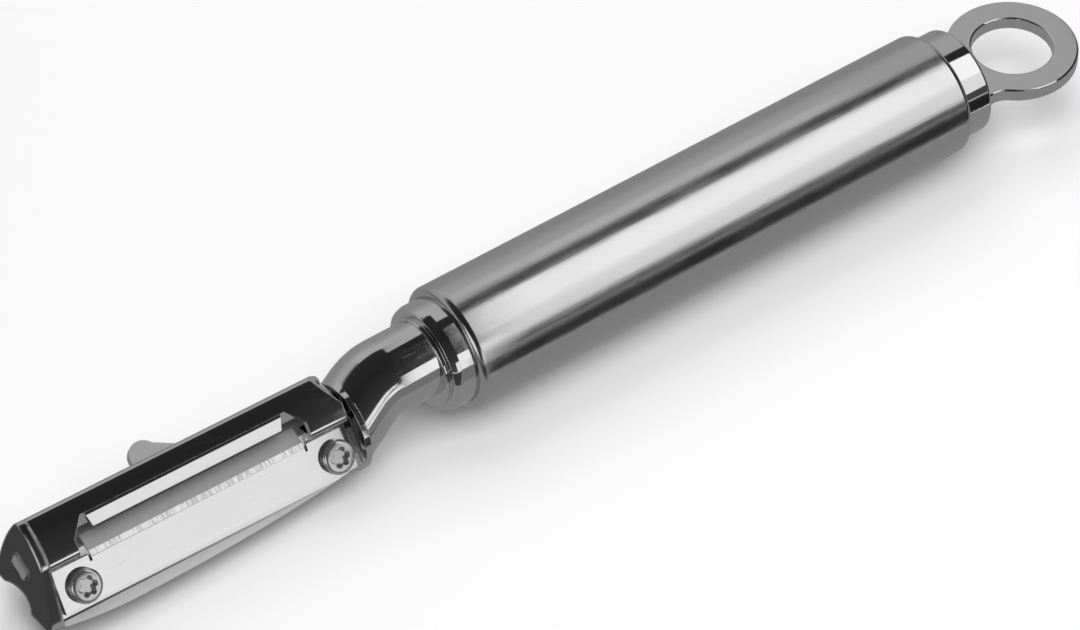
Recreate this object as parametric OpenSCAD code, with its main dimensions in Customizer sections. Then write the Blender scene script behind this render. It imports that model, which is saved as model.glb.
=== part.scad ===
// Swivel vegetable peeler: round steel handle with a hanging ring, cranked neck,
// and a formed half-tube head that swings on a long axle and carries a screwed-on blade.
// X runs along the handle from head to ring, Z is the normal of the ring plate,
// and the origin is the centre of the hanging hole.

/* [Handle] */
// Outside diameter of the handle tube
tube_d = 20; // [19.6:0.2:24]
// Wall thickness of the handle tube
tube_wall = 0.9; // [0.7:0.05:1]
// Length of the handle tube
tube_len = 94.9; // [80:0.1:120]
// Distance from the hanging hole to the rear end of the tube
tube_rear_x = 16.2; // [15.8:0.1:18]
// Radius of the rolled edge at each end of the tube
tube_round = 1.1; // [0.4:0.1:1.2]
// Length of the part of the tube's ends that is rolled in
mouth_len = 1.3; // [1.2:0.1:2]
// Gap between pieces that are pushed together and fixed
seat_gap = 0.03; // [0.01:0.01:0.05]

/* [Front collar] */
// Step from the tube's outside in to the polished collar
collar_step = 1.35; // [1.3:0.05:1.8]
// Length of the collar in front of the tube
collar_len = 3.9; // [3:0.1:6]
// Length of its straight band
band_len = 2.3; // [1.5:0.1:2.6]
// Fall of the rounded front edge below the band
band_fall = 0.4; // [0.2:0.05:0.8]
// Step from the collar's outside in to the low boss that the neck stands on
boss_step = 1.45; // [1.2:0.05:1.5]
// Height of that boss
boss_len = 0.7; // [0.4:0.1:1]
// Radius on the edge of the boss
boss_round = 0.3; // [0.1:0.05:0.35]
// Length of the collar's plug inside the tube
plug_len = 12; // [9:0.5:18]

/* [Neck] */
// Diameter of the neck rod
neck_d = 12.2; // [11:0.1:12.2]
// Height of the rod's centre above the handle's centre where it leaves the collar
neck_rise = 1.0; // [0.4:0.1:1]
// Straight length of the rod in front of the collar
neck_straight = 6.5; // [5:0.1:7]
// Radius of the bend on the rod's centre line
bend_r = 8.5; // [7.5:0.1:10]
// Angle of the bend
bend_angle = 30; // [24:1:34]
// Direction of the bend round the handle, from sideways towards downwards
bend_turn = 60; // [45:1:75]
// Diameter of the shoulder at the neck's end
shoulder_d = 14.2; // [13.6:0.1:15]
// Thickness of the shoulder
shoulder_t = 1.0; // [0.8:0.1:1.4]
// Diameter of the tang inside the collar
tang_d = 8; // [7:0.5:9]
// Diameter of the hidden cross pins
pin_d = 2.5; // [2:0.1:3]

/* [Swivel] */
// Diameter of the axle
axle_d = 2.8; // [2.6:0.1:3]
// Depth of the axle's seat in the neck
axle_seat = 9; // [6:0.5:10]
// Radial running clearance round the axle
axle_play = 0.05; // [0.03:0.01:0.08]
// Play along the axle at the washer and the clip
end_play = 0.05; // [0.03:0.01:0.1]
// Width of the axle's flattened front end
flat_w = 3.4; // [3.2:0.1:3.6]
// Thickness of the flattened end
flat_t = 1.8; // [1.6:0.1:2]
// Slope of the flattened end against the ring plate
flat_angle = -23; // [-30:1:-15]
// How far the flattened end stands out of the front plate
flat_out = 0.6; // [0.4:0.1:0.8]
// Clearance between the flattened end and the edges of its slot
slot_play = 0.12; // [0.08:0.01:0.2]
// Swing of the head to each side
swing = 20; // [10:1:25]
// Thickness of the washer between the neck and the head
washer_t = 0.5; // [0.4:0.1:0.7]
// Diameter of the washer
washer_d = 7; // [6:0.2:8]
// Diameter of the clip that keeps the head on the axle
clip_d = 5.4; // [5:0.1:5.8]
// Thickness of the clip
clip_t = 0.6; // [0.5:0.1:0.8]
// Depth of the clip's groove in the axle
groove_h = 0.4; // [0.3:0.05:0.5]

/* [Head shell] */
// Distance from the tube's front end to the head's reference plane
head_ahead = 23.9; // [23:0.1:25]
// Distance of the axle from the handle's centre line, away from the blade
axle_side = 0.4; // [0:0.1:1]
// Distance of the axle below the handle's centre line
axle_drop = 0.6; // [0:0.1:1]
// Upward set of the head against the handle
head_tilt = 1.4; // [0:0.1:2]
// Length of the head in front of its reference plane
head_front_len = 50.8; // [50.6:0.1:54]
// Length of the head behind its reference plane
head_back_len = 2.7; // [2.6:0.1:3]
// Thickness of the sheet
sheet_t = 1.0; // [0.9:0.05:1.05]
// Distance of the far wall's foot from the axle
far_out = 5.9; // [5.6:0.1:6.4]
// Depth of the far wall's foot below the axle
far_low = 5.8; // [5:0.1:6.2]
// Radius of the shallow far wall
far_r = 26.5; // [25:0.5:28]
// Radius of the crest between the far wall and the near wall
crest_r = 1.4; // [1.2:0.1:1.6]
// Radius of the near wall
near_r = 12; // [11.5:0.1:12.5]
// Radius of the roll at the near wall's foot
foot_r = 1.2; // [1.1:0.05:1.3]
// Width of the step from that roll in to the blade's seat
step_w = 0.72; // [0.6:0.02:0.8]
// Radius of the lip that curls out below the blade
lip_r = 3.2; // [2.8:0.1:3.6]
// Gap between the blade's lower edge and the start of the lip
lip_gap = 0.37; // [0.3:0.01:0.5]
// Reach of the lip below the blade where it is widest
lip_reach = 2.4; // [2:0.1:2.6]
// Distance of that widest place from the head's front
lip_front_gap = 12.8; // [10.8:1:16.8]
// Distance of the rear corner, where the lip starts, behind the reference plane
lip_back_len = 3; // [2.8:0.1:4]
// Distance from the widest place to where the lip's edge would end in front
lip_fore_len = 17.5; // [16:0.5:22]
// Fullness of the lip's edge: a half is an ellipse, one a flatter and more pointed curve
lip_full_share = 0.75; // [0.5:0.05:1]
// Height and length of the slope at the rear end of the crest
slope_h = 2.6; // [2:0.1:3]

/* [Window] */
// Distance of the window's front end, at its foot, from the head's front
window_front_gap = 6.6; // [6.2:0.1:7]
// Rear end of the window at its foot
window_rear_x = 3.8; // [3.4:0.1:4.2]
// Slant of the window's ends along the head
window_slant = 2.4; // [1.6:0.1:3]
// Part of the window's height that the slant takes at the top
slant_h = 2.6; // [2:0.1:3]
// Radius of the guard's bend
guard_r = 1.2; // [1.1:0.05:1.4]
// Height of the guard's flat face
guard_h = 1.9; // [1.5:0.1:2]
// Play between the guard's ends and the window's slanted ends
guard_gap = 0.3; // [0.2:0.05:0.5]

/* [Plates] */
// Thickness of the front plate
front_t = 1.5; // [1.4:0.05:1.6]
// How far the plate's feet reach forward of its crest
front_lean = 1; // [0:0.1:1.4]
// Distance of the near leg's round from the axle, towards the blade
leg_out = 7.25; // [6.8:0.05:7.4]
// Depth of the near leg's round below the axle
leg_low = 5.55; // [5.2:0.05:6]
// Distance of the arch's crown from the axle, towards the blade
arch_out = 0.9; // [0.6:0.1:2]
// Depth of the arch's crown below the axle
arch_low = 4.4; // [4:0.05:4.6]
// Radius of the arch on the far side
arch_far_r = 8; // [7.5:0.1:9]
// Thickness of the rear plate
rear_t = 1.0; // [0.8:0.1:1]
// Height of the rear plate above the axle
rear_h = 4.9; // [4:0.1:5]

/* [Blade] */
// Thickness of the blade
blade_t = 0.6; // [0.5:0.05:0.7]
// Width of the blade's flat
blade_w = 6.8; // [6.6:0.1:7]
// Slope of the blade's flat below the ring plate
blade_slope = 57; // [56:0.5:58]
// Gap between the step and the blade's upper edge
blade_gap = 0.77; // [0.6:0.01:0.9]
// Radius of the bend from the flat into the tongue, on its outside
tongue_r = 1.8; // [1.4:0.1:2]
// Angle of that bend
tongue_bend = 35; // [30:1:36]
// Length of the tongue from the bend's corner to the cutting edge
tongue_len = 3.2; // [2.8:0.1:3.3]
// Width of the bevel ground under the cutting edge
bevel_w = 1.0; // [0.6:0.1:1.2]
// Thickness left at the cutting edge
edge_t = 0.1; // [0.05:0.01:0.15]
// Distance of the tongue's front end from the window's
tongue_front_gap = 2.1; // [1.8:0.1:2.6]
// Rear end of the tongue
tongue_rear_x = 4.7; // [4.4:0.1:5]
// Distance of the blade's front end from the head's front
blade_front_gap = 2; // [1.8:0.1:2.4]
// Distance of the blade's rear end behind the reference plane
blade_back_len = 2.5; // [2.3:0.1:2.5]
// Width of the relief slits beside the tongue
slit_w = 0.4; // [0.3:0.05:0.5]
// Depth of the relief slits below the bend
slit_h = 0.5; // [0.3:0.05:0.7]

/* [Fasteners] */
// Distance of the front screw from the head's front
screw_front_gap = 6.1; // [5.8:0.1:6.3]
// Place of the rear screw along the head
screw_rear_x = 0.3; // [0.2:0.05:0.4]
// Distance of the screws from the blade's upper edge
screw_in = 3.9; // [3.6:0.1:4]
// Diameter of a screw's shank
screw_d = 2; // [1.8:0.1:2.2]
// Diameter of a screw's head
screw_head_d = 5.3; // [5:0.1:5.4]
// Height of a screw's head
screw_head_h = 1.3; // [1.2:0.1:1.8]
// Radius on the rim of a screw's head
screw_round = 0.6; // [0.3:0.1:0.8]
// Radius of the circle that the recess's lobes lie on
lobe_out = 1.15; // [1:0.05:1.25]
// Radius of one lobe of the recess
lobe_r = 0.45; // [0.35:0.05:0.5]
// Depth of the recess
recess_h = 0.8; // [0.5:0.1:1]
// Diameter of a threaded bush
bush_d = 3.6; // [3.2:0.1:3.6]
// Length of a threaded bush
bush_len = 2.4; // [2:0.1:2.6]

/* [Eye remover] */
// Thickness of the eye remover's plate
eye_t = 1.2; // [1:0.1:1.4]
// Radius of its rounded end
eye_r = 2.4; // [2.2:0.1:2.6]
// Place of that round along the head
eye_x = 26.7; // [25:0.1:28]
// Reach of the plate out of the far wall
eye_reach = 3.4; // [3:0.1:3.8]
// Rear end of the plate along the head
eye_rear_x = 20.6; // [19:0.1:22]
// Direction in which the plate stands out of the head
eye_angle = 155; // [152:1:158]

/* [Ring and end cap] */
// Outside diameter of the ring
ring_d = 21; // [20:0.2:22]
// Diameter of the hanging hole
hole_d = 12.9; // [12:0.1:14]
// Thickness of the ring plate
ring_t = 2.3; // [2:0.1:2.6]
// Radius on the edges of the ring plate
ring_round = 0.3; // [0.2:0.05:0.4]
// Width of the plate at its waist in front of the cap
waist_w = 13.7; // [13:0.1:14]
// Distance of the waist from the hanging hole
waist_x = 9.4; // [9:0.1:9.6]
// Step from the tube's outside in to the end cap
cap_step = 1.3; // [1.3:0.05:1.8]
// Length of the end cap behind the tube
cap_len = 4.9; // [4.5:0.1:5.2]
// Radius on the rear edge of the end cap
cap_round = 0.6; // [0.4:0.1:1]
// Width of the ring plate's tang inside the cap
tang_w = 9; // [8:0.5:10]
// Length of the ring plate's tang
tang_len = 14; // [12:0.5:15]
// Length of the end cap's plug inside the tube
cap_plug_len = 10; // [9:0.5:14]

/* [Hidden] */
$fn = 96;

// How far a cut runs past what it cuts
overrun = 2;
polished = "#c9cccf";
brushed = "#a9acb0";
ground = "#d8dadc";
plain = "#8d9196";

// Radii and stations along the handle
tube_r = tube_d / 2;
bore_r = tube_r - tube_wall;
plug_r = bore_r - seat_gap;
tube_front = tube_rear_x + tube_len;
head_x = tube_front + head_ahead;
collar_r = tube_r - collar_step;
boss_r = collar_r - boss_step;
cap_r = tube_r - cap_step;
cap_rear = tube_rear_x - cap_len;
boss_front = collar_len + boss_len;
neck_root = tube_front + boss_front;
neck_r = neck_d / 2;
axle_r = axle_d / 2;
pin_r = pin_d / 2;
pin_len = plug_r * 2 - pin_r;
pin_back = mouth_len + plug_len / 2;

// Stations along the head, from the reference plane towards the front
window_front_x = head_front_len - window_front_gap;
tongue_front_x = window_front_x - tongue_front_gap;
blade_front_x = head_front_len - blade_front_gap;
screw_front_x = head_front_len - screw_front_gap;
lip_mid_x = head_front_len - lip_front_gap;
plate_back = head_front_len - front_t;
neck_end = -head_back_len - washer_t - 2 * end_play;
neck_cut = neck_end - shoulder_t / 2;

// End of the neck's centre line: its slanted run, and how far that takes it aside
run_len = (head_x + neck_cut - neck_root - neck_straight - bend_r * sin(bend_angle)) / cos(bend_angle);
run_off = bend_r * (1 - cos(bend_angle)) + run_len * sin(bend_angle);
shoulder_p = axle_side + run_off * cos(bend_turn);
shoulder_q = axle_drop + neck_rise - run_off * sin(bend_turn) - neck_cut * sin(head_tilt);

// Unit vector at an angle
function ray(a) = [cos(a), sin(a)];
// Points of a round stretch from one angle to another
function arc(centre, r, a, b, steps = 12) = [for (i = [0 : steps]) centre + r * ray(a + (b - a) * i / steps)];
// Point where two lines cross, each given by the angle of its normal and its distance along it
function crossing(a, da, b, db) = [da * sin(b) - db * sin(a), db * cos(a) - da * cos(b)] / sin(b - a);

// The head's section as seen from its front. The first number runs towards the blade and
// the second upwards, both from the axle. Each bend starts where the one before it ends,
// and its two angles are those of the surface's normal.
far_end = 147;
crest_end = 67;
near_end = 35;
foot_end = -80;
seat_normal = 90 - blade_slope;
far_c = [-far_out, -far_low] - far_r * ray(177);
crest_c = far_c + (far_r - crest_r) * ray(far_end);
near_c = crest_c + (crest_r - near_r) * ray(crest_end);
foot_c = near_c + (near_r - foot_r) * ray(near_end);
seat_top = foot_c + foot_r * ray(foot_end) + step_w * ray(foot_end - 90);
seat_dist = seat_top * ray(seat_normal);
step_dist = seat_top * ray(foot_end);
down = ray(-blade_slope);
blade_top = seat_top + blade_gap * down;
blade_foot = blade_top + blade_w * down;
lip_c = blade_foot + lip_gap * down + lip_r * ray(seat_normal);
lip_turn = 42;

// Angle at which the far wall ends on a level line, with the outline drawn in by an inset
function far_start(inset) = 180 - asin((inset - far_low - far_c.y) / (far_r - inset));
// A round stretch without its first point, which is the last one of the stretch before it
function onward(centre, r, a, b, steps = 12) = [
    for (i = [1 : steps]) centre + r * ray(a + (b - a) * i / steps)];
// Far wall, crest and near wall, from the far foot to the near foot
function upper(inset) = concat(
    arc(far_c, far_r - inset, far_start(inset), far_end, 16),
    onward(crest_c, crest_r - inset, far_end, crest_end),
    onward(near_c, near_r - inset, crest_end, near_end));

// One face of the formed sheet: walls, foot, step, blade seat and lip
function shell_outline(inset) = concat(
    upper(inset),
    onward(foot_c, foot_r - inset, near_end, foot_end, 10),
    [crossing(foot_end, step_dist - inset, seat_normal, seat_dist - inset)],
    arc(lip_c, lip_r + inset, 180 + seat_normal, 180 + seat_normal + lip_turn, 10));

// Arch between the legs of a plate: a wide arc on the far side and a tight one beside the blade
arch_near_r = leg_low + foot_r - arch_low;
arch_near_c = [arch_out, -leg_low - foot_r];
arch_far_c = [arch_out, -arch_low - arch_far_r];
function arch(from) = concat(
    arc(arch_near_c, arch_near_r, from, 90),
    arc(arch_far_c, arch_far_r, 90, 180 - asin((-far_low - arch_far_c.y) / arch_far_r)));

// Outline of the front plate: the section without its step, closed by the near leg and the arch
leg_c = [leg_out, -leg_low];
side_normal = atan2(leg_c.x - foot_c.x, foot_c.y - leg_c.y);
front_outline = concat(
    upper(0),
    onward(foot_c, foot_r, near_end, side_normal, 4),
    arc(leg_c, foot_r, side_normal, -90),
    arch(0));

// Outline of the rear plate: inside the shell, down the back of the blade's seat
rear_leg = blade_foot * ray(-blade_slope) - foot_r;
arch_start = 25;
function rear_outline(inset) = concat(
    upper(inset),
    onward(foot_c, foot_r - inset, near_end, foot_end, 6),
    [crossing(foot_end, step_dist - inset, seat_normal, seat_dist - inset)],
    [crossing(seat_normal, seat_dist - inset, -blade_slope, rear_leg)],
    arch(arch_start));

// Tongue of the blade: its bend starts below the blade's upper edge
tongue_normal = seat_normal + tongue_bend;
bend_cut = tongue_r * tan(tongue_bend / 2);
bend_start = blade_top + bend_cut * down + blade_t * ray(seat_normal);
tongue_c = bend_start - tongue_r * ray(seat_normal);
tongue_root = tongue_c + tongue_r * ray(tongue_normal);
tongue_tip = tongue_root + (tongue_len - bend_cut) * ray(tongue_normal + 90);

// Screws stand square on the blade, at this place of its inner face
screw_foot = blade_top + screw_in * down;
screw_r = screw_d / 2;

// Frame along the handle, with its third axis towards the head
module along_handle(station) {
    translate([-station, 0, 0]) rotate([0, -90, 0]) children();
}

// Frame of the head: towards the blade, up, and towards the front, from the axle
module head_frame() {
    translate([-head_x, axle_side, -axle_drop]) rotate([0, head_tilt, 0]) rotate([90, 0, -90]) children();
}

// A prism through the sheet, drawn along the head and up the sheet, for the sheet's normal angle
module through_sheet(angle, outside, inside) {
    rotate([0, 0, angle]) translate([outside, 0, 0]) rotate([0, -90, 0])
        linear_extrude(outside - inside) children();
}

// Both screw places, with the third axis out of the blade's seat
module at_screw(place) {
    translate([screw_foot.x, screw_foot.y, place]) rotate([0, 0, seat_normal]) rotate([0, 90, 0]) children();
}

module handle_tube() {
    color(brushed) along_handle(tube_rear_x) rotate_extrude() polygon(concat(
        [[cap_r + seat_gap, 0]],
        arc([tube_r - tube_round, tube_round], tube_round, -90, 0),
        arc([tube_r - tube_round, tube_len - tube_round], tube_round, 0, 90),
        [[collar_r + seat_gap, tube_len],
         [collar_r + seat_gap, tube_len - mouth_len],
         [bore_r, tube_len - mouth_len],
         [bore_r, mouth_len],
         [cap_r + seat_gap, mouth_len]]));
}

module front_collar() {
    // The rounded front edge is an arc that leaves the band without a corner
    edge_len = collar_len - band_len;
    edge_r = (edge_len * edge_len + band_fall * band_fall) / (2 * band_fall);
    plug_front = -mouth_len - seat_gap;
    color(polished) along_handle(tube_front) difference() {
        rotate_extrude() polygon(concat(
            [[0, plug_front - plug_len], [plug_r, plug_front - plug_len], [plug_r, plug_front],
             [collar_r, plug_front]],
            arc([collar_r - edge_r, band_len], edge_r, 0, asin(edge_len / edge_r)),
            [[boss_r, collar_len]],
            arc([boss_r - boss_round, boss_front - boss_round], boss_round, 0, 90, 4),
            [[0, boss_front]]));
        translate([neck_rise, 0, plug_front - plug_len - overrun])
            cylinder(d = tang_d + 2 * seat_gap, h = plug_len + boss_front - plug_front + 2 * overrun);
        translate([neck_rise, 0, -pin_back]) rotate([90, 0, 0])
            cylinder(r = pin_r + seat_gap, h = tube_d, center = true);
    }
}

// Place on the rod's bend after a turn: aside and ahead
function bent(a) = [bend_r * (1 - cos(a)), neck_straight + bend_r * sin(a)];
// Centre line of the rod: aside, ahead and slope at each step
rod_steps = 10;
rod_line = concat([[0, 0, 0]],
    [for (i = [0 : rod_steps]) let (a = bend_angle * i / rod_steps) [bent(a).x, bent(a).y, a]],
    [[bent(bend_angle).x + (run_len + neck_r) * sin(bend_angle),
      bent(bend_angle).y + (run_len + neck_r) * cos(bend_angle), bend_angle]]);

// The rod's skin: a circle carried along the line, square on it at each place
module bent_rod() {
    sides = 72;
    last = len(rod_line) - 1;
    points = [for (p = rod_line) for (i = [0 : sides - 1]) let (c = neck_r * ray(-360 * i / sides))
        [p.x + c.x * cos(p.z), c.y, p.y - c.x * sin(p.z)]];
    faces = concat(
        [[for (i = [sides - 1 : -1 : 0]) i]],
        [for (k = [0 : last - 1]) for (i = [0 : sides - 1]) let (j = (i + 1) % sides)
            [k * sides + i, k * sides + j, (k + 1) * sides + j, (k + 1) * sides + i]],
        [[for (i = [0 : sides - 1]) last * sides + i]]);
    rotate([0, 0, 270 - bend_turn]) polyhedron(points, faces, convexity = 4);
}

module neck_rod() {
    tang_back = boss_front + mouth_len + plug_len;
    color(polished) difference() {
        union() {
            difference() {
                along_handle(neck_root) translate([neck_rise, 0, 0]) bent_rod();
                head_frame() translate([shoulder_p, shoulder_q, neck_cut]) cylinder(r = neck_d, h = neck_d);
            }
            along_handle(neck_root) translate([neck_rise, 0, -tang_back])
                cylinder(d = tang_d, h = tang_back + neck_straight / 2);
            head_frame() translate([shoulder_p, shoulder_q, neck_end - shoulder_t])
                cylinder(d = shoulder_d, h = shoulder_t);
        }
        head_frame() translate([0, 0, neck_end - axle_seat - seat_gap])
            cylinder(r = axle_r + seat_gap, h = axle_seat + overrun);
        along_handle(tube_front - pin_back) translate([neck_rise, 0, 0]) rotate([90, 0, 0])
            cylinder(r = pin_r + seat_gap, h = tube_d, center = true);
    }
}

module neck_pin() {
    color(plain) along_handle(tube_front - pin_back) translate([neck_rise, 0, 0]) rotate([90, 0, 0])
        cylinder(r = pin_r, h = pin_len, center = true);
}

module swivel_axle() {
    clip_u = -head_back_len + rear_t + end_play;
    flat_u = plate_back - flat_w / 2;
    color(polished) head_frame() union() {
        difference() {
            translate([0, 0, neck_end - axle_seat])
                cylinder(r = axle_r, h = flat_u - neck_end + axle_seat + flat_t / 2);
            translate([0, 0, clip_u - seat_gap]) difference() {
                cylinder(r = axle_d, h = clip_t + 2 * seat_gap);
                cylinder(r = axle_r - groove_h, h = clip_t + 2 * seat_gap);
            }
        }
        rotate([0, 0, flat_angle]) translate([-flat_w / 2, -flat_t / 2, flat_u])
            cube([flat_w, flat_t, head_front_len + flat_out - flat_u]);
    }
}

module thrust_washer() {
    color(plain) head_frame() translate([0, 0, neck_end + end_play]) difference() {
        cylinder(d = washer_d, h = washer_t);
        translate([0, 0, -overrun]) cylinder(r = axle_r + axle_play, h = washer_t + 2 * overrun);
    }
}

module retaining_clip() {
    inside = axle_r - groove_h + seat_gap;
    color(plain) head_frame() translate([0, 0, -head_back_len + rear_t + end_play]) difference() {
        cylinder(d = clip_d, h = clip_t);
        translate([0, 0, -overrun]) cylinder(r = inside, h = clip_t + 2 * overrun);
        translate([-clip_d, -inside / 2, -overrun]) cube([clip_d, inside, clip_t + 2 * overrun]);
    }
}

module head_shell() {
    guard_from = 57;
    guard_to = 30;
    guard_c = near_c + (near_r - guard_r) * ray(guard_from);
    // Its root runs on inside the wall, so it is drawn a hair thinner than the sheet
    guard_root = 8;
    guard_in = guard_r - sheet_t + seat_gap;
    guard_out = guard_r - seat_gap;
    guard_end = guard_c + guard_out * ray(guard_to);
    window_normal = 30;
    window_top = (near_c + near_r * ray(guard_from)) * ray(window_normal + 90);
    window_foot = bend_start * ray(window_normal + 90) - blade_t / 4;
    window_out = near_r;
    window_in = foot_r * 2;
    lip_edge = blade_foot * ray(seat_normal + 90);
    module window(gap) {
        polygon([[window_rear_x + gap, window_foot],
                 [window_front_x - gap, window_foot],
                 [window_front_x - gap, window_top - slant_h],
                 [window_front_x - gap - window_slant, window_top],
                 [window_rear_x + gap + window_slant, window_top],
                 [window_rear_x + gap, window_top - slant_h]]);
    }
    color(polished) head_frame() union() {
        difference() {
            translate([0, 0, -head_back_len]) linear_extrude(plate_back + head_back_len) polygon(concat(
                shell_outline(0),
                [for (i = [len(shell_outline(sheet_t)) - 1 : -1 : 0]) shell_outline(sheet_t)[i]]));
            through_sheet(window_normal, window_out, window_in) window(0);
            // The lip's free edge swells from the rear corner to its widest place near the front
            through_sheet(seat_normal, seat_dist + lip_r, seat_dist - lip_r) polygon(concat(
                [[-lip_back_len - overrun, lip_edge], [-lip_back_len - overrun, lip_edge - near_r],
                 [plate_back + overrun, lip_edge - near_r]],
                [for (i = [0 : 24]) let (u = plate_back - (plate_back + lip_back_len) * i / 24,
                    a = (u - lip_mid_x) / (u > lip_mid_x ? lip_fore_len : lip_mid_x + lip_back_len))
                    [u, lip_edge - lip_reach * pow(max(0, 1 - a * a), lip_full_share)]]));
            // Slope at the rear end of the crest
            rotate([0, 90, 0]) linear_extrude(near_r * 2, center = true) polygon([
                [0, near_r], [0, crest_c.y + crest_r],
                [head_back_len + overrun,
                 crest_c.y + crest_r - slope_h * (head_back_len + overrun) / head_back_len],
                [head_back_len + overrun, near_r]]);
            for (place = [screw_front_x, screw_rear_x])
                at_screw(place) translate([0, 0, -sheet_t * 2])
                    cylinder(r = screw_r + axle_play, h = sheet_t * 3);
        }
        // Guard: the near wall bent in above the window, its ends slanted like the window's
        intersection() {
            translate([0, 0, window_rear_x]) linear_extrude(window_front_x - window_rear_x) polygon(concat(
                arc(guard_c, guard_out, guard_from + guard_root, guard_to, 10),
                [guard_end + guard_h * ray(guard_to - 90),
                 guard_end + guard_h * ray(guard_to - 90) - (guard_out - guard_in) * ray(guard_to)],
                arc(guard_c, guard_in, guard_to, guard_from + guard_root, 10)));
            through_sheet(window_normal, window_out, -far_out) polygon([
                [window_rear_x + window_slant + slant_h, window_foot],
                [window_front_x - window_slant - slant_h, window_foot],
                [window_front_x - window_slant, window_top + 2 * sheet_t],
                [window_rear_x + window_slant, window_top + 2 * sheet_t]]);
        }
    }
}

module front_plate() {
    // The face is an arc in side view: upright at the crest and leaning forward to the feet
    crest_y = crest_c.y + crest_r;
    height = crest_y + leg_low + foot_r;
    face_r = (height * height + front_lean * front_lean) / (2 * front_lean);
    face_turn = asin(height / face_r);
    // The slot lets the axle's flat turn by the swing to each side
    slot_r = norm([flat_w, flat_t]) / 2 + slot_play;
    notch = (flat_t / 2 + slot_play) / cos(swing);
    color(polished) head_frame() difference() {
        intersection() {
            translate([0, 0, plate_back]) linear_extrude(front_t + front_lean) polygon(front_outline);
            rotate([0, -90, 0]) linear_extrude(near_r * 2, center = true) polygon(concat(
                [[0, -near_r], [0, near_r], [head_front_len, near_r]],
                arc([head_front_len + face_r, crest_y], face_r, 180, 180 + face_turn, 16)));
        }
        rotate([0, 0, flat_angle]) translate([0, 0, plate_back - overrun]) difference() {
            cylinder(r = slot_r, h = front_t + 2 * overrun);
            for (side = [0, 180])
                rotate([0, 0, side]) linear_extrude(front_t + 2 * overrun) polygon([
                    [0, notch], [slot_r * 2, notch + slot_r * 2 * tan(swing)],
                    [-slot_r * 2, notch + slot_r * 2 * tan(swing)]]);
        }
    }
}

module rear_plate() {
    color(polished) head_frame() translate([0, 0, -head_back_len]) difference() {
        linear_extrude(rear_t) polygon(rear_outline(sheet_t + seat_gap));
        translate([-near_r, rear_h, -overrun]) cube([near_r * 2, near_r, rear_t + 2 * overrun]);
        translate([0, 0, -overrun]) cylinder(r = axle_r + axle_play, h = rear_t + 2 * overrun);
    }
}

module eye_remover() {
    // The plate stands square on the far wall and is shaped to it at its foot
    out = far_r + eye_reach - eye_r;
    taper = eye_x - eye_rear_x;
    color(polished) head_frame() difference() {
        translate([far_c.x, far_c.y, 0]) rotate([0, 0, eye_angle])
            translate([0, eye_t / 2, 0]) rotate([90, 0, 0]) {
                translate([out, eye_x, 0]) cylinder(r = eye_r, h = eye_t);
                linear_extrude(eye_t) polygon([
                    [far_r - sheet_t, eye_x + eye_r], [out, eye_x + eye_r],
                    [out + eye_r, eye_x], [far_r, eye_rear_x], [far_r - sheet_t, eye_rear_x]]);
            }
        translate([far_c.x, far_c.y, eye_rear_x - overrun])
            cylinder(r = far_r + seat_gap, h = taper + eye_r + 2 * overrun);
    }
}

module blade() {
    tongue_end = tongue_tip - blade_t * ray(tongue_normal);
    out = blade_t * ray(seat_normal);
    color(ground) head_frame() difference() {
        union() {
            // The middle, with the tongue bent in through the window and its ground edge
            translate([0, 0, tongue_rear_x]) linear_extrude(tongue_front_x - tongue_rear_x) polygon(concat(
                [blade_foot, blade_foot + out],
                arc(tongue_c, tongue_r, seat_normal, tongue_normal),
                [tongue_tip, tongue_tip - edge_t * ray(tongue_normal)],
                [tongue_end - bevel_w * ray(tongue_normal + 90)],
                arc(tongue_c, tongue_r - blade_t, tongue_normal, seat_normal)));
            // The flat ends, which the screws hold
            for (ends = [[-blade_back_len, tongue_rear_x], [tongue_front_x, blade_front_x]])
                translate([0, 0, ends[0]]) linear_extrude(ends[1] - ends[0])
                    polygon([blade_foot, blade_foot + out, blade_top + out, blade_top]);
        }
        // Relief slits beside the tongue, and the screw holes
        through_sheet(seat_normal, seat_dist + sheet_t, seat_dist - sheet_t)
            for (slit = [tongue_rear_x - slit_w, tongue_front_x])
                translate([slit, bend_start * ray(seat_normal + 90) - slit_h])
                    square([slit_w, slit_h + tongue_r]);
        for (place = [screw_front_x, screw_rear_x])
            at_screw(place) translate([0, 0, -sheet_t]) cylinder(r = screw_r + axle_play, h = sheet_t * 3);
    }
}

// Round-headed screw with a six-lobed recess, standing on the blade's outer face
module screw(place) {
    shank = blade_t + sheet_t + bush_len;
    color(polished) head_frame() at_screw(place) difference() {
        union() {
            translate([0, 0, blade_t]) rotate_extrude() polygon(concat(
                [[0, 0], [screw_head_d / 2, 0]],
                arc([screw_head_d / 2 - screw_round, screw_head_h - screw_round], screw_round, 0, 90, 5),
                [[0, screw_head_h]]));
            translate([0, 0, blade_t - shank]) cylinder(r = screw_r, h = shank);
        }
        translate([0, 0, blade_t + screw_head_h - recess_h]) {
            cylinder(r = lobe_out, h = recess_h + overrun);
            for (lobe = [0 : 60 : 300])
                rotate([0, 0, lobe]) translate([lobe_out, 0, 0]) cylinder(r = lobe_r, h = recess_h + overrun);
        }
    }
}

// Threaded bush behind the sheet
module bush(place) {
    color(plain) head_frame() at_screw(place) translate([0, 0, -sheet_t - bush_len]) difference() {
        cylinder(d = bush_d, h = bush_len);
        translate([0, 0, -overrun]) cylinder(r = screw_r + seat_gap, h = bush_len + 2 * overrun);
    }
}

module front_screw() { screw(screw_front_x); }
module rear_screw() { screw(screw_rear_x); }
module front_bush() { bush(screw_front_x); }
module rear_bush() { bush(screw_rear_x); }

// The ring's tang and the cap's pin share this distance from the tube's rear end
ring_pin_x = tube_rear_x + mouth_len + cap_plug_len / 2;

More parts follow.
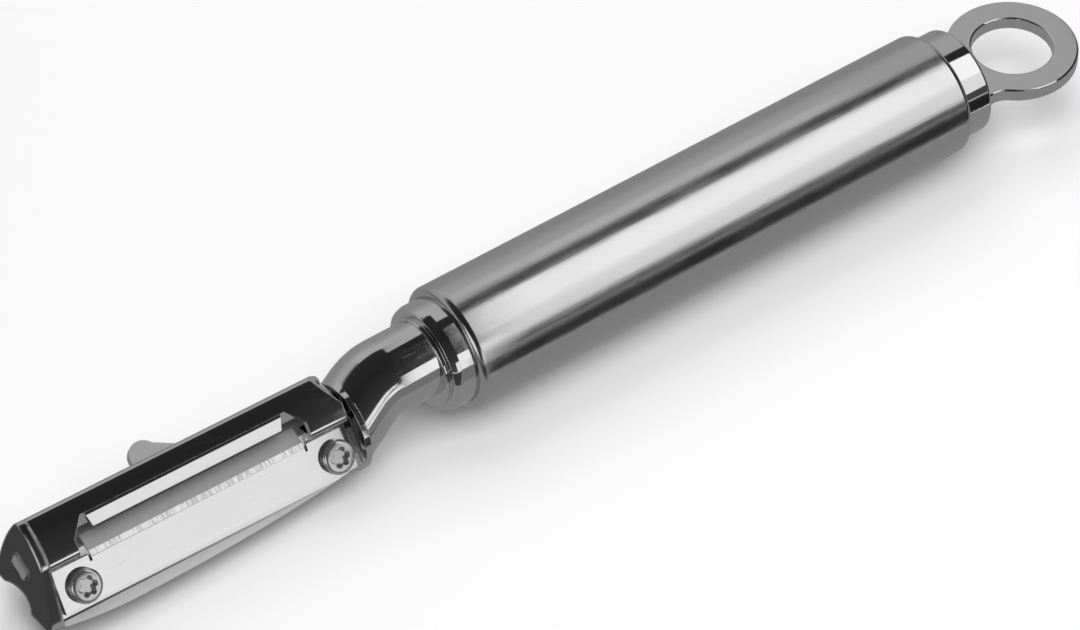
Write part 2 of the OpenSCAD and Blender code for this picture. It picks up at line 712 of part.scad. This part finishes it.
module end_cap() {
    plug_rear = mouth_len + seat_gap;
    color(polished) difference() {
        along_handle(tube_rear_x) rotate_extrude() polygon(concat(
            [[0, -cap_len]],
            arc([cap_r - cap_round, cap_round - cap_len], cap_round, -90, 0),
            [[cap_r, plug_rear], [plug_r, plug_rear], [plug_r, plug_rear + cap_plug_len],
             [0, plug_rear + cap_plug_len]]));
        translate([-cap_rear - tang_len - seat_gap, -tang_w / 2 - seat_gap, -ring_t / 2 - seat_gap])
            cube([tang_len + overrun, tang_w + 2 * seat_gap, ring_t + 2 * seat_gap]);
        translate([-ring_pin_x, 0, 0]) cylinder(r = pin_r + seat_gap, h = tube_d, center = true);
    }
}

module ring_plate() {
    // The waist's hollows are round and run into the ring without a corner
    ring_r = ring_d / 2;
    hollow = (waist_x * waist_x + waist_w * waist_w / 4 - ring_r * ring_r) / (2 * ring_r - waist_w);
    hollow_c = [-waist_x, waist_w / 2 + hollow];
    join = hollow_c * ring_r / (ring_r + hollow);
    half = ring_t / 2;
    // Section of a cut's edge: straight inside the plate and flared at both faces
    module flared(r) {
        rotate_extrude() polygon(concat(
            [[0, -half - overrun], [r + ring_round, -half - overrun]],
            arc([r + ring_round, ring_round - half], ring_round, 270, 180, 5),
            arc([r + ring_round, half - ring_round], ring_round, 180, 90, 5),
            [[r + ring_round, half + overrun], [0, half + overrun]]));
    }
    color(polished) difference() {
        union() {
            rotate_extrude() polygon(concat(
                [[0, -half]],
                arc([ring_r - ring_round, ring_round - half], ring_round, -90, 0, 5),
                arc([ring_r - ring_round, half - ring_round], ring_round, 0, 90, 5),
                [[0, half]]));
            translate([-cap_rear, -join.y, -half]) cube([cap_rear + join.x, join.y * 2, ring_t]);
            translate([-cap_rear - tang_len, -tang_w / 2, -half]) cube([tang_len, tang_w, ring_t]);
        }
        flared(hole_d / 2);
        for (side = [-1, 1])
            translate([hollow_c.x, side * hollow_c.y, 0]) flared(hollow);
        translate([-ring_pin_x, 0, 0]) cylinder(r = pin_r + seat_gap, h = tube_d, center = true);
    }
}

module ring_pin() {
    color(plain) translate([-ring_pin_x, 0, 0]) cylinder(r = pin_r, h = pin_len, center = true);
}

handle_tube();
front_collar();
neck_rod();
neck_pin();
swivel_axle();
thrust_washer();
retaining_clip();
head_shell();
front_plate();
rear_plate();
eye_remover();
blade();
front_screw();
rear_screw();
front_bush();
rear_bush();
end_cap();
ring_plate();
ring_pin();
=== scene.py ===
import math

import bpy
import numpy as np
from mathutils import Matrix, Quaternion, Vector


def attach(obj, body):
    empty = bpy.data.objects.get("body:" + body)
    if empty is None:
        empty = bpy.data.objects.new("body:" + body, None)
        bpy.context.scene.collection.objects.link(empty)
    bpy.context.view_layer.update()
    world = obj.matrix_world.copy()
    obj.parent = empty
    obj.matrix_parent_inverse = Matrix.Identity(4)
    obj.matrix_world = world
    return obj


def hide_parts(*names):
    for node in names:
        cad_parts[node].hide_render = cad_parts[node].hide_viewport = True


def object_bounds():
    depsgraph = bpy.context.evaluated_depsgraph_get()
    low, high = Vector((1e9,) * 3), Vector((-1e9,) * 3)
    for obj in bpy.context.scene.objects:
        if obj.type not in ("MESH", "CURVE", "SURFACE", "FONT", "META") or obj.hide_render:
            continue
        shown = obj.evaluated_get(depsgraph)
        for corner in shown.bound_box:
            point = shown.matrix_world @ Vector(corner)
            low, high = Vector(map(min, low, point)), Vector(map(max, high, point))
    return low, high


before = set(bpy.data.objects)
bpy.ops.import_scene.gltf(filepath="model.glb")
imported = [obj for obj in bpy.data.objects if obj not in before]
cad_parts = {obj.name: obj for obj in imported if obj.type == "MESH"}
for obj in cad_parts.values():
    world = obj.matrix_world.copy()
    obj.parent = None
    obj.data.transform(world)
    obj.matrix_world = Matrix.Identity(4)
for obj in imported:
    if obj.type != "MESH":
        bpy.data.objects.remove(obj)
cad_low, cad_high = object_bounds()

# Hanging ring
# A plate of stainless steel with a round hole, cut from sheet and polished. Its tang sits in
# the end cap, where a cross pin holds it.
# Lengths are in millimetres, and MM turns one into metres.
MM = 0.001


def linear(code):
    """'#rrggbb' in sRGB as a linear RGBA tuple: ((c + 0.055) / 1.055) ** 2.4 above 0.04045."""
    parts = [int(code[i : i + 2], 16) / 255 for i in (1, 3, 5)]
    return tuple(c / 12.92 if c <= 0.04045 else ((c + 0.055) / 1.055) ** 2.4 for c in parts) + (1.0,)


def add(tree, kind, joined=None, **values):
    """One shader node with its settings and links.

    A value whose name is a socket's sets that socket, and any other sets a property. joined
    gives sockets by name or number, each with the output to link or the number to hold.
    """
    made = tree.nodes.new(kind)
    for key, value in values.items():
        sockets = [s for s in made.inputs if s.name.lower() == key.replace("_", " ").lower()]
        if sockets:
            sockets[0].default_value = value
        else:
            setattr(made, key, value)
    for key, source in (joined or {}).items():
        if isinstance(source, bpy.types.NodeSocket):
            tree.links.new(source, made.inputs[key])
        else:
            made.inputs[key].default_value = source
    return made


def grain_pattern(tree, along, across, detail, turned=(0.0, 0.0, 0.0), contrast=0.5):
    """Noise about 0.5 whose marks are along mm long in X and across mm wide, then turned."""
    place = add(tree, "ShaderNodeTexCoord").outputs["Object"]
    size = (1 / (MM * along), 1 / (MM * across), 1 / (MM * across))
    sized = add(tree, "ShaderNodeMapping", {"Vector": place}, Scale=size, Rotation=turned).outputs[0]
    noise = add(
        tree, "ShaderNodeTexNoise", {"Vector": sized}, Scale=1.0, Detail=detail, Roughness=contrast
    )
    return noise.outputs[0]


def metal(name, colour, rough, spread, grain, streak, bump, wear, edge=0.15, share=1.0):
    """Steel whose look is given in mm.

    grain is the relief's size across and streak its stretch along X, so streak 1 is an even
    polish and a large one is brushing. The roughness goes from rough - spread to rough + spread
    with the grain and with broad patches, and fine scratches add up to wear. bump is the
    relief's height, edge the radius that edges seem to have, and share how much of the light a
    mirror would send.
    """
    patch = 9
    scratch_length, scratch_width, scratch_turn = 7, 0.25, (0.3, 0.2, 0.9)
    mat = bpy.data.materials.new(name)
    mat.use_nodes = True
    tree = mat.node_tree
    shader = tree.nodes["Principled BSDF"]
    shader.inputs["Base Color"].default_value = linear(colour)
    shader.inputs["Metallic"].default_value = share
    fine = grain_pattern(tree, grain * streak, grain, 3.0, contrast=0.6)
    patches = grain_pattern(tree, patch, patch, 2.0)
    scratches = grain_pattern(tree, scratch_length, scratch_width, 1.0, scratch_turn)
    mixed = add(tree, "ShaderNodeMath", {0: fine, 1: patches}, operation="ADD").outputs[0]
    level = add(
        tree, "ShaderNodeMapRange", {"Value": mixed},
        From_Min=0.7, From_Max=1.3, To_Min=rough - spread, To_Max=rough + spread,
    ).outputs[0]
    hair = add(
        tree, "ShaderNodeMapRange", {"Value": scratches},
        From_Min=0.66, From_Max=0.74, To_Min=0.0, To_Max=wear,
    ).outputs[0]
    total = add(tree, "ShaderNodeMath", {0: level, 1: hair}, operation="ADD", use_clamp=True)
    tree.links.new(total.outputs[0], shader.inputs["Roughness"])
    soft = add(tree, "ShaderNodeBevel", Radius=edge * MM, samples=8).outputs[0]
    relief = add(
        tree, "ShaderNodeBump", {"Height": fine, "Normal": soft}, Strength=1.0, Distance=bump * MM
    )
    tree.links.new(relief.outputs[0], shader.inputs["Normal"])
    return mat


def welded(node):
    """Points and triangles of a CAD node, where points that agree to 1e-7 m are one point."""
    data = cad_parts[node].data
    loose = np.zeros(len(data.vertices) * 3, np.float32)
    data.vertices.foreach_get("co", loose)
    loose = loose.reshape(-1, 3)
    steps = np.round(loose * 1e7).astype(np.int64)
    _, first, back = np.unique(steps, axis=0, return_index=True, return_inverse=True)
    data.calc_loop_triangles()
    corners = np.zeros(len(data.loop_triangles) * 3, np.int32)
    data.loop_triangles.foreach_get("vertices", corners)
    a, b, c = back.reshape(-1)[corners].reshape(-1, 3).T
    good = (a != b) & (b != c) & (a != c)
    return loose[first], np.stack([a, b, c], axis=1)[good]


def skin(node, mat, body, sharp):
    """A smooth-shaded copy of a CAD node in its place, its edges over sharp degrees kept sharp.

    Large faces lead the shading, so a long barrel isn't tilted by the round at its end.
    """
    name = node + "_skin"
    points, faces = welded(node)
    data = bpy.data.meshes.new(name)
    data.from_pydata(points.tolist(), [], faces.tolist())
    data.validate()
    data.polygons.foreach_set("use_smooth", [True] * len(data.polygons))
    data.set_sharp_from_angle(angle=math.radians(sharp))
    data.materials.append(mat)
    made = bpy.data.objects.new(name, data)
    bpy.context.scene.collection.objects.link(made)
    even = made.modifiers.new("even", "WEIGHTED_NORMAL")
    even.mode = "FACE_AREA"
    even.weight = 100
    even.keep_sharp = True
    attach(made, body)
    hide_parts(node)
    return made


# Polished stainless steel: a near mirror, broken only by faint waves and fine scratches.
polished = metal(
    "polished_stainless_steel", "#DADADA",
    rough=0.06, spread=0.02, grain=1.6, streak=1.0, bump=0.0004, wear=0.08,
)
skin("ring_plate", polished, "handle", sharp=30)

# End cap and its pin
# A turned and polished cap with a small round at its rear edge, its plug pressed into the
# tube. The cross pin inside it is hidden.

# Turned steel left plain: grey, with an even dull shine.
turned_steel = metal(
    "turned_plain_steel", "#ABABAB",
    rough=0.28, spread=0.06, grain=0.5, streak=1.0, bump=0.004, wear=0.1,
)


def leave_turned(*nodes):
    """The plain turned finish on CAD nodes that are kept as they are."""
    for node in nodes:
        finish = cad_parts[node].data.materials
        finish.clear()
        finish.append(turned_steel)


skin("end_cap", polished, "handle", sharp=30)
leave_turned("ring_pin")

# Handle tube
# A seamless tube of stainless steel, brushed lengthwise, with both mouths rolled in to the
# turned pieces.

# Brushed stainless steel: the brushing runs along the tube, so highlights spread round it.
# Its marks are drawn coarser than real ones, so that they show.
brushed = metal(
    "brushed_stainless_steel", "#D2D2D2",
    rough=0.15, spread=0.03, grain=0.35, streak=20.0, bump=0.010, wear=0.0,
)
tree = brushed.node_tree
shader = tree.nodes["Principled BSDF"]
round_tube = add(tree, "ShaderNodeTangent", direction_type="RADIAL", axis="X")
tree.links.new(round_tube.outputs[0], shader.inputs["Tangent"])
shader.inputs["Anisotropic"].default_value = 0.85
skin("handle_tube", brushed, "handle", sharp=30)

# Front collar
# A turned collar with a straight band, a shallow rounded front edge, a flat face and a boss,
# polished like the ring. Its plug is pressed into the tube.
skin("front_collar", polished, "handle", sharp=12)

# Neck
# A polished rod, bent to a crank, that ends in a shoulder for the head to turn against.
# The cross pin that holds it in the collar is hidden.
skin("neck_rod", polished, "handle", sharp=30)
leave_turned("neck_pin")

# Swivel axle
# A long pin through the head, whose flattened end shows in the slot of the front plate.
# The washer behind the head and the clip on the pin are plain turned parts.

# Satin stainless steel, ground and not polished: pale and soft, with hardly any reflection. Its low
# metal share lets its pale grey base colour show where a mirror would be dark: a painted highlight
# on the axle's end and a painted reflection on the eye remover.
satin_painted_reflection = metal(
    "satin_steel_painted_reflection", "#B4B4B4",
    rough=0.34, spread=0.04, grain=0.4, streak=1.0, bump=0.0006, wear=0.05, edge=0.3, share=0.35,
)
skin("swivel_axle", satin_painted_reflection, "handle", sharp=30)
leave_turned("retaining_clip", "thrust_washer")

# Head shell, its plates and the eye remover
# Sheet formed to a half tube with a window, a guard bent out above it and a lip curled out
# below the blade. A plate closes each end, and the eye remover is a ground lug on the far wall.

# Polished shell steel: the same near mirror. On the lip it is less of a mirror and rougher, so its
# pale base colour shows as a painted highlight.
shell_steel = metal(
    "polished_shell_steel", "#DADADA",
    rough=0.06, spread=0.02, grain=1.6, streak=1.0, bump=0.0004, wear=0.08,
)
tree = shell_steel.node_tree
shader = tree.nodes["Principled BSDF"]
lip = add(tree, "ShaderNodeAttribute", attribute_name="lip").outputs["Fac"]
# Painted highlight: on the lip the metal share falls from 1 to 0.4, so the pale base colour shows as
# a bright band.
mirror = add(tree, "ShaderNodeMapRange", {"Value": lip}, To_Min=1.0, To_Max=0.4)
tree.links.new(mirror.outputs[0], shader.inputs["Metallic"])
even_rough = shader.inputs["Roughness"].links[0].from_socket
lip_roughness = add(tree, "ShaderNodeMath", {0: lip, 1: 0.25, 2: even_rough}, operation="MULTIPLY_ADD")
tree.links.new(lip_roughness.outputs[0], shader.inputs["Roughness"])
shell = skin("head_shell", shell_steel, "head", sharp=25)

# The lip is what lies further down the blade's slope than the blade itself, past a margin.
blade_slope = math.radians(57)
lip_margin = 0.1 * MM
down = np.array([0.0, -math.cos(blade_slope), -math.sin(blade_slope)])
lip_start = (welded("blade")[0] @ down).max() + lip_margin
centres = np.zeros(len(shell.data.polygons) * 3, np.float32)
shell.data.polygons.foreach_get("center", centres)
lip_faces = centres.reshape(-1, 3) @ down > lip_start
lip_marks = shell.data.attributes.new("lip", "FLOAT", "FACE")
lip_marks.data.foreach_set("value", lip_faces.astype(np.float32))

# Polished plate steel: the same near mirror with well rounded edges, where light gathers.
plate_steel = metal(
    "polished_plate_steel", "#DADADA",
    rough=0.08, spread=0.02, grain=1.6, streak=1.0, bump=0.0004, wear=0.08, edge=0.8,
)
skin("front_plate", plate_steel, "head", sharp=25)
skin("rear_plate", polished, "head", sharp=25)
# The eye remover's light grey is a painted reflection, from the pale base colour of this steel.
skin("eye_remover", satin_painted_reflection, "head", sharp=25)

# Blade
# A strip of hardened stainless steel, ground flat. Its tongue is bent in through the window
# to make the cutting edge, and the grinding marks run across the bend.

# Ground blade steel: a smooth pale flat; a bend whose grinding marks are painted pale, a painted
# highlight;
# and a tongue painted flat grey, a painted reflection. The marks are drawn coarser than real ones,
# so that they show.
ground = metal(
    "ground_blade_steel_painted_reflections", "#DEDEDE",
    rough=0.1, spread=0.02, grain=0.5, streak=30.0, bump=0.0004, wear=0.06, edge=0.06,
)
bend_zone, tongue_zone, flat_zone = 1.0, 0.5, 0.0
mark_width, mark_length = 0.3, 3
tree = ground.node_tree
shader = tree.nodes["Principled BSDF"]
zone = add(tree, "ShaderNodeAttribute", attribute_name="blade_zone").outputs["Fac"]
marks = grain_pattern(tree, mark_width, mark_length, 3.0)
# Painted highlight: on the bend the grinding marks are painted pale, in place of the bend's bright
# reflection.
pale = add(
    tree, "ShaderNodeMapRange", {"Value": marks},
    From_Min=0.35, From_Max=0.6, To_Min=0.62, To_Max=0.98,
).outputs[0]
marked = add(tree, "ShaderNodeCombineColor", {0: pale, 1: pale, 2: pale}).outputs[0]
# Painted reflection: the tongue's flat grey stands in for the grey that it mirrors.
steps = add(tree, "ShaderNodeValToRGB", {"Fac": zone})
steps.color_ramp.interpolation = "CONSTANT"
steps.color_ramp.elements[0].color = linear("#DEDEDE")
steps.color_ramp.elements[1].position = (flat_zone + tongue_zone) / 2
steps.color_ramp.elements[1].color = linear("#A6A6A6")
past_tongue = (tongue_zone + bend_zone) / 2
on_bend = add(tree, "ShaderNodeMath", {0: zone, 1: past_tongue}, operation="GREATER_THAN").outputs[0]
tint = add(tree, "ShaderNodeMix", {0: on_bend, 6: steps.outputs[0], 7: marked}, data_type="RGBA")
tree.links.new(tint.outputs[2], shader.inputs["Base Color"])
# On the bend and the tongue the metal share drops to 0.15, so their painted colours show in place of
# a mirror.
dull = add(
    tree, "ShaderNodeMapRange", {"Value": zone},
    From_Min=flat_zone, From_Max=tongue_zone, To_Min=1.0, To_Max=0.15,
)
tree.links.new(dull.outputs[0], shader.inputs["Metallic"])
even_rough = shader.inputs["Roughness"].links[0].from_socket
# A zone's number is also what it adds to the roughness.
coarse = add(tree, "ShaderNodeMath", {0: zone, 1: even_rough}, operation="ADD", use_clamp=True)
tree.links.new(coarse.outputs[0], shader.inputs["Roughness"])
blade = skin("blade", ground, "head", sharp=25)

# A face's zone follows from how many degrees above level it faces on the blade's side.
bend_start, bend_end, tongue_end = 34.5, 66.5, 69.5
facing = np.zeros(len(blade.data.polygons) * 3, np.float32)
blade.data.polygons.foreach_get("normal", facing)
facing = facing.reshape(-1, 3)
angle = np.degrees(np.arctan2(facing[:, 2], -facing[:, 1]))
zones = np.where((angle >= bend_end) & (angle < tongue_end), tongue_zone, flat_zone)
zones = np.where((angle > bend_start) & (angle < bend_end), bend_zone, zones)
zone_marks = blade.data.attributes.new("blade_zone", "FLOAT", "FACE")
zone_marks.data.foreach_set("value", zones.astype(np.float32))

# Screws and their bushes
# Two screws with low domed heads and a six-lobed recess hold the blade down. The bushes
# behind the sheet that take them are hidden.

# Screw steel, cold formed: a little duller than the head, with softer edges.
screw_steel = metal(
    "screw_steel", "#C8C8C8",
    rough=0.2, spread=0.03, grain=0.5, streak=1.0, bump=0.0008, wear=0.06, edge=0.2, share=0.9,
)
for screw in ("front_screw", "rear_screw"):
    skin(screw, screw_steel, "head", sharp=25)
leave_turned("front_bush", "rear_bush")

# Studio
# A white floor under two soft lamps. The steel doesn't show the lamps. It shows arched panels
# round the handle, cards on the floor and a grey room, set for the bands that the photo has.
floor_z = cad_low.z / MM


def surface(name, points, mat, faces=None):
    """One face through its points in mm, or the faces given."""
    data = bpy.data.meshes.new(name)
    data.from_pydata((np.array(points) * MM).tolist(), [], faces or [tuple(range(len(points)))])
    data.materials.append(mat)
    made = bpy.data.objects.new(name, data)
    bpy.context.scene.collection.objects.link(made)
    return made


def glowing(name, points, strength, faces=None):
    """A surface with an even grey light that the camera doesn't see and that throws no shadow.

    A strength of 1 is white.
    """
    mat = bpy.data.materials.new(name)
    mat.use_nodes = True
    tree = mat.node_tree
    tree.nodes.remove(tree.nodes["Principled BSDF"])
    lit = add(tree, "ShaderNodeEmission", Color=linear("#FFFFFF"), Strength=strength)
    tree.links.new(lit.outputs[0], tree.nodes["Material Output"].inputs["Surface"])
    made = surface(name, points, mat, faces)
    made.visible_camera = False
    made.visible_shadow = False
    return made


def panel(name, start, end, low, high, strength):
    """An arched panel round the handle's axis, from start to end along X.

    Its points lie at (-reach * cos(up), reach * sin(up)) in Y and Z, where up goes from low to
    high in degrees above level on the camera's side.
    """
    reach, rows = 300, 13
    up = np.radians(np.linspace(low, high, rows))
    arch = np.stack([np.zeros(rows), -reach * np.cos(up), reach * np.sin(up)], axis=1)
    points = np.concatenate([arch + (start, 0, 0), arch + (end, 0, 0)])
    glowing(name, points, strength, [(i, i + rows, i + rows + 1, i + 1) for i in range(rows - 1)])


def card(name, outline, strength, lift=0.5):
    """A card lying lift mm above the floor, seen only in the steel, through its (x, y) corners."""
    made = glowing(name, [(x, y, floor_z + lift) for x, y in outline], strength)
    made.visible_diffuse = False


# Each panel stands where the camera sees it mirrored in the piece that it is named for.
panel("handle_softbox", start=22, end=190, low=44, high=89, strength=1.28)
panel("handle_low_softbox", start=22, end=190, low=14, high=44, strength=1.0)
panel("handle_shade", start=23, end=128, low=89, high=112, strength=0.06)
panel("handle_ceiling", start=23, end=128, low=112, high=134, strength=0.62)
panel("neck_softbox", start=7, end=22, low=-2, high=30, strength=1.2)
panel("head_softbox", start=-110, end=0, low=-2, high=18, strength=1.04)
panel("head_ceiling", start=-140, end=4, low=128, high=150, strength=0.50)
panel("neck_ceiling", start=4, end=23, low=108, high=150, strength=0.50)
panel("ring_ceiling", start=128, end=200, low=108, high=150, strength=0.46)

# A lit wall beyond the head's front, on the camera's side.
wall_x, wall_near, wall_far, wall_low, wall_high = -500, -420, -40, 10, 260
wall = [
    (wall_x, wall_near, wall_low),
    (wall_x, wall_far, wall_low),
    (wall_x, wall_far, wall_high),
    (wall_x, wall_near, wall_high),
]
glowing("front_wall", wall, 1.0)

# The corners that the cards share: along the shade under the object, and out toward the camera.
shade_head = (-188, -27)
shade_collar = (-112, -27)
shade_tube = (-101, -27)
shade_right = (400, -27)
collar_near = (-112, -34)
black_left = (-52, -132)
black_right = (500, -132)
grey_near = (28, -300)
dark_near = (-10, -300)
dark_left = (-400, -300)
card("black_edge", [shade_tube, shade_right, black_right, black_left], 0.02, lift=1.2)
card("grey_under", [shade_head, shade_right, (400, 500), (-188, 500)], 0.30)
card("grey_beside", [black_left, grey_near, (500, -300), black_right], 0.10)
card("grey_ahead", [shade_tube, black_left, grey_near, dark_near, collar_near, shade_collar], 0.22)
card("dark_beside", [dark_left, dark_near, collar_near, shade_collar, shade_head], 0.05)
card("dark_front", [(-600, -300), dark_left, shade_head, (-188, 500), (-600, 500)], 0.06)

# Matt white paint on the floor: hardly any shine, so that it shows the object's shadow.
paint = bpy.data.materials.new("floor_white")
paint.use_nodes = True
shader = paint.node_tree.nodes["Principled BSDF"]
shader.inputs["Base Color"].default_value = linear("#FAFAFA")
shader.inputs["Roughness"].default_value = 0.9
shader.inputs["Specular IOR Level"].default_value = 0.1
floor_reach = 1500
signs = [(-1, -1), (1, -1), (1, 1), (-1, 1)]
surface("floor", [(x * floor_reach, y * floor_reach, floor_z) for x, y in signs], paint)

# The room is grey by how far a direction has turned from level on the camera's side, over the
# top, to level on the far side, as a share of that half turn. Each stop is (share, grey).
dark_stops = [(0.0, 0.08), (0.16, 0.04), (0.40, 0.02), (0.70, 0.03)]
grey_stops = [(0.76, 0.46), (0.85, 0.44), (0.92, 0.36), (1.0, 0.30)]
room_stops = dark_stops + grey_stops
world = bpy.data.worlds.new("studio")
bpy.context.scene.world = world
world.use_nodes = True
tree = world.node_tree
direction = add(tree, "ShaderNodeTexCoord").outputs["Generated"]
parts = add(tree, "ShaderNodeSeparateXYZ", {"Vector": direction})
near = add(tree, "ShaderNodeMath", {0: parts.outputs["Y"], 1: -1.0}, operation="MULTIPLY").outputs[0]
turn = add(tree, "ShaderNodeMath", {0: parts.outputs["Z"], 1: near}, operation="ARCTAN2").outputs[0]
turned_share = add(tree, "ShaderNodeMath", {0: turn, 1: math.pi}, operation="DIVIDE").outputs[0]
room = add(tree, "ShaderNodeValToRGB", {"Fac": turned_share})
while len(room.color_ramp.elements) < len(room_stops):
    room.color_ramp.elements.new(0.5)
for stop, (at, grey) in zip(room.color_ramp.elements, room_stops):
    stop.position = at
    stop.color = (grey, grey, grey, 1.0)
tree.links.new(room.outputs[0], tree.nodes["Background"].inputs["Color"])
tree.nodes["Background"].inputs["Strength"].default_value = 1.0

# The place near the middle of the object that the lamps are aimed at.
middle = Vector((-95, 0, 0)) * MM


def lamp(name, place, size, power):
    """A soft square lamp at place in mm, aimed at the middle, that the steel doesn't show."""
    data = bpy.data.lights.new(name, "AREA")
    data.shape = "SQUARE"
    data.size = size * MM
    data.energy = power
    made = bpy.data.objects.new(name, data)
    made.location = Vector(place) * MM
    made.rotation_mode = "QUATERNION"
    made.rotation_quaternion = (middle - made.location).to_track_quat("-Z", "Y")
    made.visible_glossy = False
    bpy.context.scene.collection.objects.link(made)


lamp("key", place=(-200, -300, 900), size=900, power=6.6)
lamp("fill", place=(200, 500, 800), size=700, power=4.4)

# Camera
# Its place, turn and lens were fitted to the ring, the tube, the collar and the head in the
# photo. The focal length is in the photo's pixels.
photo_width = 1080
focal_pixels = 5483.8
turned, raised, rolled = math.radians(-37.1265), math.radians(45.0464), math.radians(0.3618)
photo_lens = bpy.data.cameras.new("photo")
photo_lens.sensor_width = 36.0
photo_lens.lens = focal_pixels / photo_width * photo_lens.sensor_width
photo_lens.clip_start = 0.01
photo_lens.clip_end = 20.0
camera = bpy.data.objects.new("photo", photo_lens)
camera.location = Vector((-446.6726, -467.0178, 583.2778)) * MM
level = math.cos(raised)
back = Vector((math.sin(turned) * level, -math.cos(turned) * level, math.sin(raised)))
camera.rotation_mode = "QUATERNION"
camera.rotation_quaternion = (-back).to_track_quat("-Z", "Y") @ Quaternion((0, 0, 1), rolled)
bpy.context.scene.collection.objects.link(camera)
bpy.context.scene.camera = camera
bpy.context.scene.view_settings.view_transform = "Standard"
